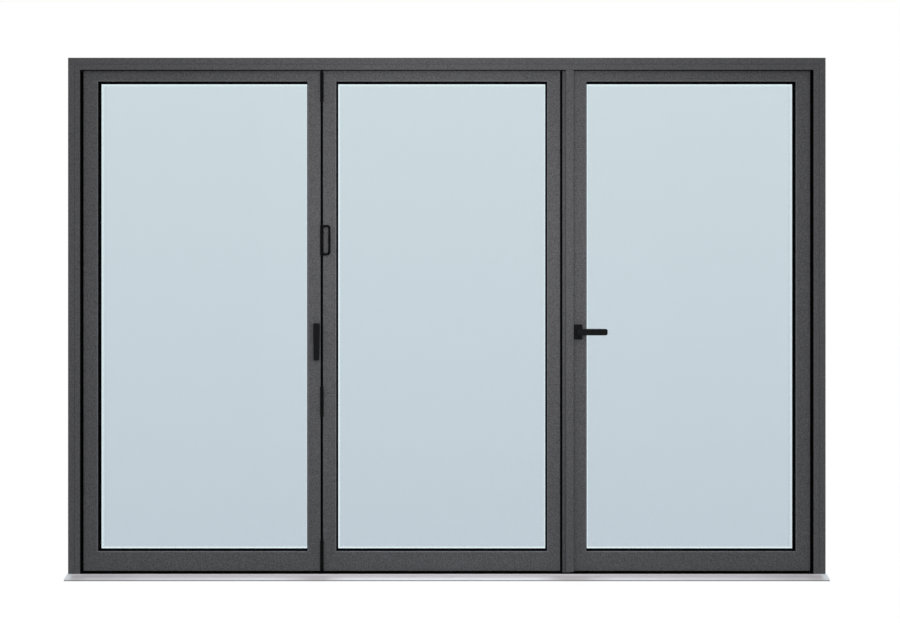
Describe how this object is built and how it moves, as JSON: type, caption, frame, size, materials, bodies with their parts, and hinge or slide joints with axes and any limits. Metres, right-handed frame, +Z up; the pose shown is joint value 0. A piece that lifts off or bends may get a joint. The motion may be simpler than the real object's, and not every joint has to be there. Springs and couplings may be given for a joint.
{
  "type": "bi-fold door",
  "caption": "Glazed aluminium bi-fold door set in a dark grey frame, closed: a fold pair of leaves and a hinged traffic leaf with a lever handle.",
  "frame": {"origin": "middle of the flat underside of the threshold, on the floor and half way through the frame's depth", "axes": "+X to the right along the door seen from the room, +Y to the outside, +Z up"},
  "size_m": [3.008, 0.187, 2.064],
  "materials": {
    "grey_coating": "fine-textured matt powder coating",
    "black_fittings": "satin black coating",
    "black_rubber": "matt black",
    "satin_aluminium": "satin anodised",
    "lock_steel": "brushed",
    "spacer_bar": "satin, with two rows of fine slots",
    "glass": "clear with a cool tint"
  },
  "bodies": {
    "frame": {"bolt_handle_base": "black_fittings", "entry_ramp": "satin_aluminium", "fold_hinges": "black_fittings", "fold_pair_beads": "grey_coating", "fold_pair_glazing_seals": "black_rubber", "fold_pair_spacers": "spacer_bar", "fold_seal": "black_rubber", "head_frame": "grey_coating", "left_jamb": "grey_coating", "left_jamb_hinge_frames": "black_fittings", "left_jamb_seal": "black_rubber", "left_leaf_bottom_rail": "grey_coating", "left_leaf_glass": "glass", "left_leaf_hinges": "black_fittings", "left_leaf_left_stile": "grey_coating", "left_leaf_right_stile": "grey_coating", "left_leaf_top_rail": "grey_coating", "lock_keep": "lock_steel", "meeting_mullion": "grey_coating", "middle_leaf_bottom_rail": "grey_coating", "middle_leaf_glass": "glass", "middle_leaf_left_stile": "grey_coating", "middle_leaf_right_stile": "grey_coating", "middle_leaf_top_rail": "grey_coating", "mullion_seal": "black_rubber", "pull_hinge": "black_fittings", "right_jamb": "grey_coating", "right_jamb_hinge_frames": "black_fittings", "right_jamb_seal": "black_rubber", "threshold": "grey_coating", "threshold_mat": "black_rubber"},
    "traffic_leaf": {"door_leaf_beads": "grey_coating", "door_leaf_bottom_rail": "grey_coating", "door_leaf_glass": "glass", "door_leaf_glazing_seals": "black_rubber", "door_leaf_hinges": "black_fittings", "door_leaf_left_stile": "grey_coating", "door_leaf_right_stile": "grey_coating", "door_leaf_spacer": "spacer_bar", "door_leaf_top_rail": "grey_coating", "inside_rose": "black_fittings", "lock_faceplate": "lock_steel", "outside_rose": "black_fittings"},
    "door_lever": {"inside_lever": "black_fittings", "outside_lever": "black_fittings"},
    "bolt_grip": {"bolt_handle": "black_fittings"}
  },
  "joints": [
    {"name": "traffic_leaf_hinge", "type": "hinge", "parent": "frame", "child": "traffic_leaf", "pos_m": [1.448, 0.05, 1.02], "axis": [0, 0, -1], "range_deg": [0, 120]},
    {"name": "door_lever_turn", "type": "hinge", "parent": "traffic_leaf", "child": "door_lever", "pos_m": [0.5215, 0.0075, 0.978], "axis": [0, 1, 0], "range_deg": [0, 40], "stiffness_Nm_per_rad": 1.5, "springref_deg": -20.05},
    {"name": "bolt_handle_turn", "type": "hinge", "parent": "frame", "child": "bolt_grip", "pos_m": [-0.515, -0.043, 1], "axis": [0, 1, 0], "range_deg": [0, 180]}
  ]
}
